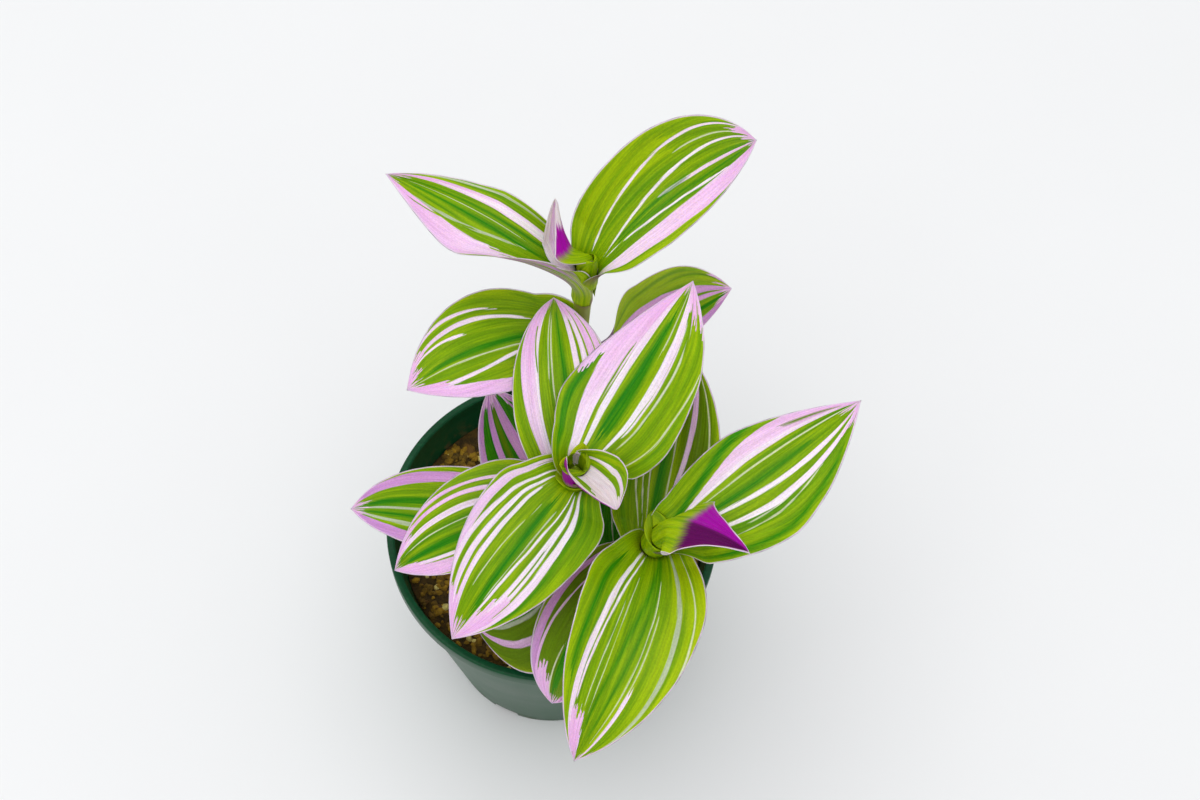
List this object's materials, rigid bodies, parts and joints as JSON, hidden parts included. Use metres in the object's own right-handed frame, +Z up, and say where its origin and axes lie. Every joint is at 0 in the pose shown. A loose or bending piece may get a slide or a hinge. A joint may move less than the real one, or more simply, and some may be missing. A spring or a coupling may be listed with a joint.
{
  "type": "potted tradescantia",
  "caption": "Upright trailing house plant with pointed leaves striped in green, white and lilac, growing in a round tapered nursery pot that rests on its flat base.",
  "frame": {"origin": "centre of the pot's flat base, on the surface it stands on", "axes": "+Z up along the pot's axis; +X to the right and +Y away, seen from the picture's side"},
  "size_m": [0.1454, 0.1756, 0.2064],
  "materials": {
    "pot_plastic": "satin dark green moulded plastic",
    "potting_mix": "loose brown mix of peat, bark and pale granules",
    "stem": "smooth juicy yellow-green stem with purple joints",
    "leaf": "softly glossy green, striped white and lilac above and purple below"
  },
  "bodies": {
    "root": {"pot": "pot_plastic", "soil": "potting_mix", "stem_centre": "stem", "stem_right": "stem", "stem_back": "stem", "leaf_back_young": "leaf", "leaf_back_1": "leaf", "leaf_back_2": "leaf", "leaf_back_3": "leaf", "leaf_back_4": "leaf", "leaf_centre_young": "leaf", "leaf_centre_1": "leaf", "leaf_centre_2": "leaf", "leaf_centre_3": "leaf", "leaf_centre_4": "leaf", "leaf_centre_5": "leaf", "leaf_centre_6": "leaf", "leaf_centre_7": "leaf", "leaf_right_young": "leaf", "leaf_right_1": "leaf", "leaf_right_2": "leaf", "leaf_right_3": "leaf", "leaf_right_4": "leaf", "leaf_right_5": "leaf"}
  },
  "joints": []
}
